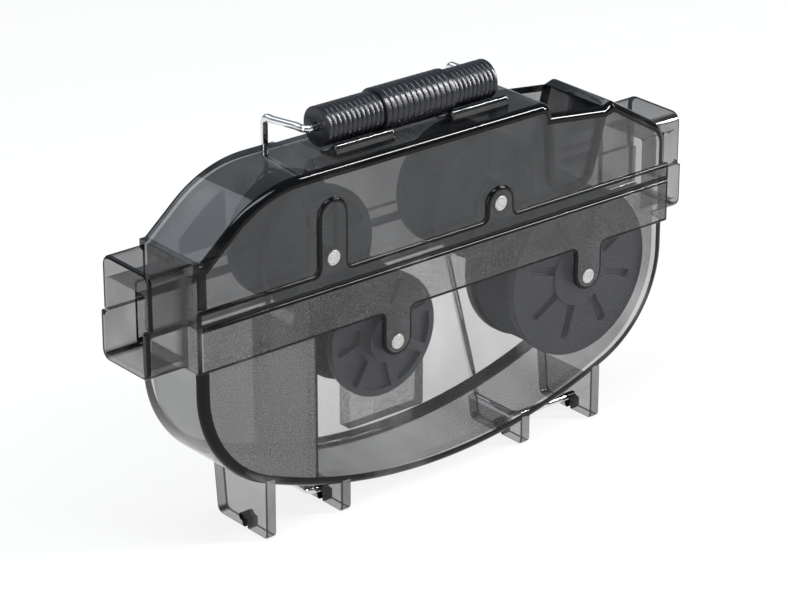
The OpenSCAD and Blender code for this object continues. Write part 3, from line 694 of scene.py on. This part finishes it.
def build_tank():
    # rim_strip and band_strip carry the painted edge shade onto the flat front and back faces
    rim_strip, band_strip, fillet_step, hollow_r = 1.0, 0.35, 2, 1.2
    tank = slab("tank", tank_outline(), face_y, back_y, edge_r, TANK_MATS, flat=rim_strip, side=PLAIN)
    merge(tank, belt("band", tank_band(), BAND_MATS, band_strip), "UNION")
    for side in ENDS:
        merge(tank, port_half(side, port_bottom_z, parting_z, port_reach, True), "UNION")
        merge(tank, fillet(side, port_bottom_z + fillet_step, parting_z), "UNION")
    for x in feet_x:
        merge(tank, foot(x), "UNION")
    hollow = slab("hollow", tank_inside(), face_y + wall, back_y - wall, hollow_r, TANK_MATS, rim=PLAIN)
    merge(tank, hollow, "DIFFERENCE")
    for side in ENDS:
        merge(tank, channel(side), "DIFFERENCE")
    for key in ("lower_left", "lower_right"):
        merge(tank, bore(key, TANK_MATS), "DIFFERENCE")
    merge(tank, partition(), "UNION")
    merge(tank, inner_box(), "UNION")
    finish_shape(tank, "tank_body", "tank", "smoke_plastic", "tank_shell")


# The lid
def lid_outline():
    return [[-half_w, lid_z, 0], [half_w, lid_z, 0], [half_w, slope_end_z, slope_end_r],
            [ear_x, ear_z, pocket_wall], [pocket_b, pocket_end_z, 0], [pocket_a, pocket_lip_z, 0],
            [plateau_end_x, plateau_z, plateau_end_r], [slope_apex_x, plateau_z, slope_r],
            [slope_foot_x, shoulder_z, 0], [-half_w, shoulder_z, 0]]


def lid_inside():
    """The lid's outline without the pocket, from below its lower edge."""
    z = lid_z - wall - beyond
    return [[-half_w, z, 0], [half_w, z, 0], [half_w, slope_end_z, slope_end_r], [ear_x, ear_z, 0],
            [plateau_end_x, plateau_z, 0], [slope_apex_x, plateau_z, slope_r],
            [slope_foot_x, shoulder_z, 0], [-half_w, shoulder_z, 0]]


def trough_outline():
    """The pocket's opening, its slanted sides carried on above the lid."""
    lean_a = (pocket_floor_a - pocket_a) / (pocket_lip_z - pocket_floor_z)
    lean_b = (pocket_b - pocket_floor_b) / (pocket_end_z - pocket_floor_z)
    above = 3
    top = plateau_z + above
    return [[pocket_a - lean_a * (top - pocket_lip_z), top, 0], [pocket_floor_a, pocket_floor_z, pocket_r],
            [pocket_floor_b, pocket_floor_z, pocket_r], [pocket_b + lean_b * (top - pocket_end_z), top, 0]]


def saddle(x):
    """A seat on the plateau whose front lip holds the grip."""
    front, rear, mid, lip = face_y + 4.3, face_y + 20.3, hinge_y, saddle_lip_z
    sunk, rise, lean, slant, r, overrun_left, overrun_right = 1, 0.4, 0.5, 1.1, 0.6, 2, 2.4
    c = [[front, plateau_z - sunk, 0], [rear, plateau_z - sunk, 0], [rear, plateau_z, 0],
         [mid, plateau_z + rise, 0], [mid, lip, 0.5], [front + lean, lip, 0.8], [front, lip - slant, 0.5]]
    block = slab("saddle", c, x, x + saddle_w, r, LID_MATS, rim=SEATS, place=lengthwise, cap=SEATS)
    seat = prism("seat", circle(mid, grip_z, seat_r, 96), x - overrun_left, x + saddle_w + overrun_right,
                 LID_MATS, lengthwise, SEATS)
    merge(block, seat, "DIFFERENCE")
    return block


def guide(x0, x1):
    """A chain guide that hangs under the lid's roof."""
    near, far, low_z = guide_y - guide_t / 2, guide_y + guide_t / 2, shoulder_z - guide_drop
    in_roof, r = 1, 0.3
    block = box_solid("guide", (x0, near, low_z), (x1, far, plateau_z), r, LID_MATS, SEATS)
    merge(block, prism("under", outline(lid_inside(), in_roof), face_y, back_y, LID_MATS), "INTERSECT")
    return block


def hollow_of_lid():
    """The lid's inside, with the pocket's walls left standing."""
    hollow = prism("hollow", outline(lid_inside(), wall), face_y + wall, back_y - wall, LID_MATS)
    walls, overrun = outline(trough_outline(), -pocket_wall), 1
    merge(hollow, prism("outside", walls, face_y - overrun, back_y + overrun, LID_MATS), "DIFFERENCE")
    return hollow


def lid_flange():
    high_z, r = parting_z + flange_h, 0.6
    x, z = axles["upper_left"]
    return [[-edge_x, lid_z, 0], [edge_x, lid_z, 0], [edge_x, high_z, r], *tab_up(*axles["upper_right"]),
            *tab_up(x, z + tall_rise), [-edge_x, high_z, r]]


def relief():
    """A slanted cut at the back of the plateau, under the wire's arms."""
    left, right, y0, y1, drop = -39.6, 28.6, back_y - 8, back_y + 2, 1.5
    top = plateau_z + 2
    c = [[y0, plateau_z, 0], [y1, plateau_z - drop, 0], [y1, top, 0], [y0, top, 0]]
    return prism("relief", outline(c), left, right, LID_MATS, lengthwise)


def drain():
    """The hole in the pocket's floor."""
    # The hole's wall takes the near-black material: painted shade in the hole
    x, y, overrun = (pocket_floor_a + pocket_floor_b) / 2, (face_y + back_y) / 2, 2
    return prism("drain", circle(x, y, drain_r, 32), pocket_floor_z - beyond, pocket_floor_z + overrun,
                 LID_MATS, level, PAINTED_SHADE)


def build_lid():
    # rim_strip and flange_strip carry the painted edge shade onto the flat front and back faces
    rim_strip, flange_strip, fillet_step = 0.7, 0.45, 2.2
    lid = slab("lid", lid_outline(), face_y, back_y, edge_r, LID_MATS, flat=rim_strip, side=PLAIN)
    merge(lid, belt("flange", lid_flange(), LID_MATS, flange_strip), "UNION")
    for side in ENDS:
        merge(lid, port_half(side, lid_z, port_top_z, port_reach - port_step, False), "UNION")
        merge(lid, fillet(side, lid_z, port_top_z - fillet_step), "UNION")
    merge(lid, hollow_of_lid(), "DIFFERENCE")
    trough = prism("trough", outline(trough_outline(), 0), face_y + wall, back_y - wall, LID_MATS)
    merge(lid, trough, "DIFFERENCE")
    for side in ENDS:
        merge(lid, channel(side), "DIFFERENCE")
    for key in ("upper_left", "upper_right"):
        merge(lid, bore(key, LID_MATS), "DIFFERENCE")
    merge(lid, relief(), "DIFFERENCE")
    merge(lid, drain(), "DIFFERENCE")
    for x in saddle_x:
        merge(lid, saddle(x), "UNION")
    for x0, x1 in guides_x:
        merge(lid, guide(x0, x1), "UNION")
    finish_shape(lid, "lid_body", "lid", "smoke_plastic", "lid_shell")


def build_pocket_strip(label, y0, y1):
    trough, outside, inside, in_wall, overrun = trough_outline(), 0.25, 0.15, 0.5, 1
    low, high = y0 - overrun, y1 + overrun
    strip = prism("strip", outline(trough, -pocket_wall - outside), y0, y1, [EDGE_ON_SHADE])
    merge(strip, prism("core", outline(trough, inside), low, high, [EDGE_ON_SHADE]), "DIFFERENCE")
    merge(strip, prism("crop", outline(lid_outline(), in_wall), low, high, [EDGE_ON_SHADE]), "INTERSECT")
    finish_shape(strip, "pocket_strip_" + label, "lid", "smoke_plastic")


def build_partition_strip(label, y0, y1):
    x, half_t, above_floor, above_top, r = partition_x, 1.5, 1.2, 0.3, 0.3
    bar = box_solid("bar", (x - half_t, y0, tank_floor_z(x) + above_floor),
                    (x + half_t, y1, partition_top_z + above_top), r, [EDGE_ON_SHADE])
    finish_shape(bar, "partition_strip_" + label, "tank", "smoke_plastic")


def build_shade_strips():
    """Painted shade: dark strips where the pocket's walls and the partition meet the front and back walls,
    where the plastic, seen edge-on, looks dark.
    """
    near, far = 0.9, 2.3
    for label, y0, y1 in (("front", face_y + near, face_y + far), ("back", back_y - far, back_y - near)):
        build_pocket_strip(label, y0, y1)
        build_partition_strip(label, y0, y1)


# The bail's wire
def bent_path(corners, bends):
    """The corners [x, y, z] with an arc of its own radius in each inner one."""
    path = [corners[0]]
    for before, c, after, r in zip(corners, corners[1:], corners[2:], bends[1:]):
        u, v = (before - c).normalized(), (after - c).normalized()
        turn = math.pi - u.angle(v)
        cut = r * math.tan(turn / 2)
        a, b = c + u * cut, c + v * cut
        steps = max(3, int(turn / math.radians(9)))
        centre = c + (u + v).normalized() * (r / math.cos(turn / 2))
        for k in range(steps + 1):
            spoke = (a - centre).slerp(b - centre, k / steps)
            path.append(centre + spoke.normalized() * r)
    path.append(corners[-1])
    return path


def round_end(bm, ring, p, inward):
    """A shallow chamfer and a flat face on a tube's end."""
    narrowed, proud = 0.75, 0.25
    small = [bm.verts.new((p + (Vector(v.co) / MM - p) * narrowed - inward * proud) * MM) for v in ring]
    join_rings(bm, ring, small)
    bm.faces.new(small)


def tube(name, path, r, mat, around=20):
    bm = bmesh.new()
    rings, normal = [], None
    for i, p in enumerate(path):
        d = (path[min(i + 1, len(path) - 1)] - path[max(i - 1, 0)]).normalized()
        if normal is None:
            normal = Vector((0, 0, 1)) if abs(d.z) < 0.9 else Vector((0, 1, 0))
        normal = (normal - d * normal.dot(d)).normalized()
        across = d.cross(normal)
        turns = [FULL_TURN * k / around for k in range(around)]
        rings.append([bm.verts.new((p + r * (math.cos(t) * normal + math.sin(t) * across)) * MM)
                      for t in turns])
    for lo, hi in zip(rings, rings[1:]):
        join_rings(bm, lo, hi)
    round_end(bm, rings[0], path[0], (path[1] - path[0]).normalized())
    round_end(bm, rings[-1], path[-1], (path[-2] - path[-1]).normalized())
    return as_object(name, bm, [mat])


def build_wire():
    leg_y = back_y + leg_gap + wire_r
    left, right, foot_x, top = -39.6, 26.4, 37.6, 110.4
    tip_left, tip_right, bend_z, foot_bend_z, arm = -33.85, 60.55, 51, 7.2, 4
    route = [(tip_left, hinge_y, hinge_z), (left, hinge_y, hinge_z), (left, leg_y, hinge_z),
             (left, leg_y, top), (left, leg_y - arm, top), (left, hinge_y + arm, grip_z),
             (left, hinge_y, grip_z), (right, hinge_y, grip_z), (right, hinge_y + arm, grip_z),
             (right, leg_y - arm, top), (right, leg_y, top), (right, leg_y, bend_z),
             (foot_x, leg_y, foot_bend_z), (foot_x, leg_y, hinge_z), (foot_x, hinge_y, hinge_z),
             (tip_right, hinge_y, hinge_z)]
    bends = [0, 2, 2, 2, 12, 12, 2, 2, 12, 12, 2, 10, 4, 2, 2, 0]
    wire = tube("bail_rod", bent_path([Vector(p) for p in route], bends), wire_r, CHROME)
    finish_shape(wire, "bail_rod", "bail", "chrome_wire", "bail_wire", angle=60)


# The grip
def lathe(name, profile, place, mats, around=96):
    """A closed profile [radius, height] turned into a ring."""
    bm = bmesh.new()
    turns = [FULL_TURN * k / around for k in range(around)]
    rings = [[bm.verts.new(place(r * math.cos(t), r * math.sin(t), h)) for t in turns] for r, h in profile]
    for lo, hi in zip(rings, rings[1:] + rings[:1]):
        join_rings(bm, lo, hi)
    return as_object(name, bm, mats)


def grip_part(name, x0, x1, r, ribs):
    """One ribbed piece of the grip: flat bands with rounded edges and narrow grooves between them."""
    length = x1 - x0
    pitch = length / ribs
    bore_r, end_lip, groove, margin = wire_r + wire_fit, 0.3, 0.22, 0.15
    end_r, bevel_r, bevel_h = r - 1.0, r - 0.45, 0.12
    # Along one rib: share of the pitch, and depth below the full radius
    band_steps = ((0.07, 0.15), (0.12, 0.04), (0.22, 0.0), (0.78, 0.0), (0.88, 0.04), (0.93, 0.15))
    profile = [(bore_r, end_lip), (bore_r + end_lip, 0), (end_r, 0), (bevel_r, bevel_h)]
    for i in range(ribs):
        for share, depth in band_steps:
            h = (i + share) * pitch
            if margin < h < length - margin:
                profile.append((r - depth, h))
        if i < ribs - 1:
            profile += [(r - groove, (i + 0.97) * pitch), (r - groove, (i + 1.03) * pitch)]
    profile += [(bevel_r, length - bevel_h), (end_r, length), (bore_r + end_lip, length),
                (bore_r, length - end_lip)]

    def place(a, b, h):
        return ((x0 + h) * MM, (hinge_y + a) * MM, (grip_z + b) * MM)

    o = lathe(name, profile, place, [GRIP])
    finish_shape(o, name, "grip", "grip_plastic", "grip_" + name, angle=50)


def build_grip():
    sleeve_grip_r, collar_r = 5.7, 6.4
    grip_part("left_sleeve", -36.0, -16.4, sleeve_grip_r, 12)
    grip_part("collar", -16.4, 8.6, collar_r, 13)
    grip_part("right_sleeve", 8.6, 24.2, sleeve_grip_r, 10)


# Wheels, pins and brushes
def soften(o, width, angle=30, segments=2):
    """Rounds the sharp edges of a CAD node by modifiers alone."""
    touching, nearly_flat = 0.000002, 0.4
    weld = o.modifiers.new("weld", "WELD")
    weld.merge_threshold = touching
    flat = o.modifiers.new("flat", "DECIMATE")
    flat.decimate_type = "DISSOLVE"
    flat.angle_limit = math.radians(nearly_flat)
    b = o.modifiers.new("round", "BEVEL")
    b.width = width * MM
    b.segments = segments
    b.limit_method = "ANGLE"
    b.angle_limit = math.radians(angle)
    for p in o.data.polygons:
        p.use_smooth = True
    even = o.modifiers.new("even", "WEIGHTED_NORMAL")
    even.weight = 100


def dress_nodes():
    for name, o in NODES.items():
        if name.endswith("axle"):
            paint(o, PIN)
            soften(o, 0.3)
        elif name.endswith("disc"):
            paint(o, WHEEL)
            soften(o, 0.2)


rng = random.Random(7)
disc_t, disc_gap = 2.4, 0.3
brush_r, brush_y, brush_w, sleeve_r, sleeve_gap = 18.39, 5.6, 17.6, 7.4, 0.15
core_t, root_depth = 1.2, 0.8
tuft_rows, tufts_around, bristles_each = 6, 24, 9
bristle_root_r, bristle_tip_r, thirds = 0.13, 0.09, (0, 2.09, 4.19)
# How far a bristle strays, in radians around the axle and in millimetres along it
root_turn, root_shift, tip_turn, tip_shift, from_edge = 0.03, 0.5, 0.035, 0.8, 0.2
sponge_y, sponge_w = 3.2, 21.4


def bristle(bm, centre, root, tip):
    """A three-sided tapering bristle."""
    d = (tip - root).normalized()
    u = d.cross(Vector((0, 1, 0))).normalized()
    v = d.cross(u)
    ends = []
    for end, r in ((root, bristle_root_r), (tip, bristle_tip_r)):
        ends.append([bm.verts.new((centre + end + r * (math.cos(t) * u + math.sin(t) * v)) * MM)
                     for t in thirds])
    lo, hi = ends
    join_rings(bm, lo, hi)
    bm.faces.new(hi)
    bm.faces.new(lo[::-1])


def build_brush(key):
    """A core ring with rows of tufts, each of several slightly scattered bristles."""
    x, z = axles[key]
    y0 = face_y + brush_y + disc_t + disc_gap
    w = brush_w - 2 * disc_t - 2 * disc_gap
    core_r, around = sleeve_r + sleeve_gap, 48
    centre = Vector((x, y0, z))
    bm = bmesh.new()
    turns = [FULL_TURN * k / around for k in range(around)]
    profile = [(core_r, 0), (core_r + core_t, 0), (core_r + core_t, w), (core_r, w)]
    loops = [[bm.verts.new(((x + r * math.cos(t)) * MM, (y0 + h) * MM, (z + r * math.sin(t)) * MM))
              for t in turns] for r, h in profile]
    for lo, hi in zip(loops, loops[1:] + loops[:1]):
        join_rings(bm, lo, hi)
    root_r, shorter = core_r + root_depth, 1
    for row in range(tuft_rows):
        for i in range(tufts_around):
            a0 = FULL_TURN * (i + row % 2 / 2) / tufts_around
            c0 = w * (row + 0.5) / tuft_rows
            for _ in range(bristles_each):
                a = a0 + rng.uniform(-root_turn, root_turn)
                c = c0 + rng.uniform(-root_shift, root_shift)
                a1 = a + rng.uniform(-tip_turn, tip_turn)
                c1 = min(max(c + rng.uniform(-tip_shift, tip_shift), from_edge), w - from_edge)
                r1 = brush_r - shorter + rng.uniform(-0.5, 0.05)
                bristle(bm, centre, Vector((root_r * math.cos(a), c, root_r * math.sin(a))),
                        Vector((r1 * math.cos(a1), c1, r1 * math.sin(a1))))
    bmesh.ops.recalc_face_normals(bm, faces=bm.faces)
    me = bpy.data.meshes.new(key)
    bm.to_mesh(me)
    bm.free()
    me.materials.append(BRISTLE)
    o = bpy.data.objects.new(key + "_bristles", me)
    scene.collection.objects.link(o)
    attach(o, key + "_wheel")
    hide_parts(key + "_brush")


def sponge_profile(w):
    """Hole, back face, skin and front face, with points close enough together to be roughened."""
    hole_r, shoulder_r, rim_r, skin_r, rim_h = 7.6, 24.2, 24.7, 24.8, 0.6
    first_r, last_r, spacing, count = 9, 23, 2.0, 8
    profile = [(hole_r, 0.0), (hole_r, w)] + [(first_r + i * spacing, w) for i in range(count)]
    profile += [(shoulder_r, w), (rim_r, w - rim_h)]
    profile += [(skin_r, w - 1 - i) for i in range(int(w - 2))]
    profile += [(rim_r, rim_h), (shoulder_r, 0)] + [(last_r - i * spacing, 0) for i in range(count)]
    return profile


def build_sponge():
    """A ring with a rough skin."""
    x, z = axles["lower_right"]
    y0, w = face_y + sponge_y + disc_t + disc_gap, sponge_w - 2 * disc_t - 2 * disc_gap

    def place(a, b, h):
        return ((x + a) * MM, (y0 + h) * MM, (z + b) * MM)

    sponge = lathe("sponge_ring", sponge_profile(w), place, [SPONGE], around=160)
    smooth_to_r, roughness = 9, 0.16
    for v in sponge.data.vertices:
        d = Vector((v.co.x / MM - x, 0, v.co.z / MM - z))
        if d.length > smooth_to_r:
            v.co -= d.normalized() * MM * abs(rng.gauss(0, roughness))
    finish_shape(sponge, "sponge_ring", "lower_right_wheel", "sponge", "lower_right_sponge", angle=80)


build_tank()
build_lid()
build_shade_strips()
build_wire()
build_grip()
dress_nodes()
for key in ("upper_left", "upper_right", "lower_left"):
    build_brush(key)
build_sponge()


# Studio, in metres
def make_floor():
    bpy.ops.mesh.primitive_plane_add(size=6, location=(0, 0, -0.0002))
    floor = bpy.context.object
    floor.name = "studio_floor"
    paint(floor, FLOOR)


def make_world():
    """Soft bluish light all round; the camera sees plain white."""
    world = bpy.data.worlds.new("studio")
    scene.world = world
    world.use_nodes = True
    tree = world.node_tree
    soft = tree.nodes["Background"]
    soft.inputs["Color"].default_value = (0.82, 0.90, 1.0, 1)
    soft.inputs["Strength"].default_value = 0.32
    white = tree.nodes.new("ShaderNodeBackground")
    white.inputs["Strength"].default_value = 1
    ray = tree.nodes.new("ShaderNodeLightPath").outputs
    mix = tree.nodes.new("ShaderNodeMixShader")
    link_outputs(tree, (ray["Is Camera Ray"], mix.inputs[0]), (soft.outputs[0], mix.inputs[1]),
                 (white.outputs[0], mix.inputs[2]),
                 (mix.outputs[0], tree.nodes["World Output"].inputs["Surface"]))


def area(name, place, target, size, power, colour=(1, 1, 1)):
    data = bpy.data.lights.new(name, "AREA")
    data.shape = "RECTANGLE"
    data.size, data.size_y = size
    data.energy = power
    data.color = colour
    o = bpy.data.objects.new(name, data)
    scene.collection.objects.link(o)
    o.location = place
    o.rotation_euler = (Vector(target) - Vector(place)).to_track_quat("-Z", "Y").to_euler()


make_floor()
make_world()
area("top_soft", place=(-0.15, -0.1, 0.8), target=(0, 0, 0.05), size=(0.8, 0.2), power=8,
     colour=(0.88, 0.94, 1.0))
area("left_strip", place=(-0.8, -0.2, 0.35), target=(0, 0, 0.06), size=(0.14, 0.8), power=6)
area("right_strip", place=(0.62, -0.5, 0.52), target=(0, 0, 0.06), size=(0.07, 0.7), power=15)
area("slope_soft", place=(-0.30, 0.72, 0.70), target=(-0.06, 0, 0.09), size=(0.6, 0.45), power=1.4,
     colour=(0.86, 0.92, 1.0))
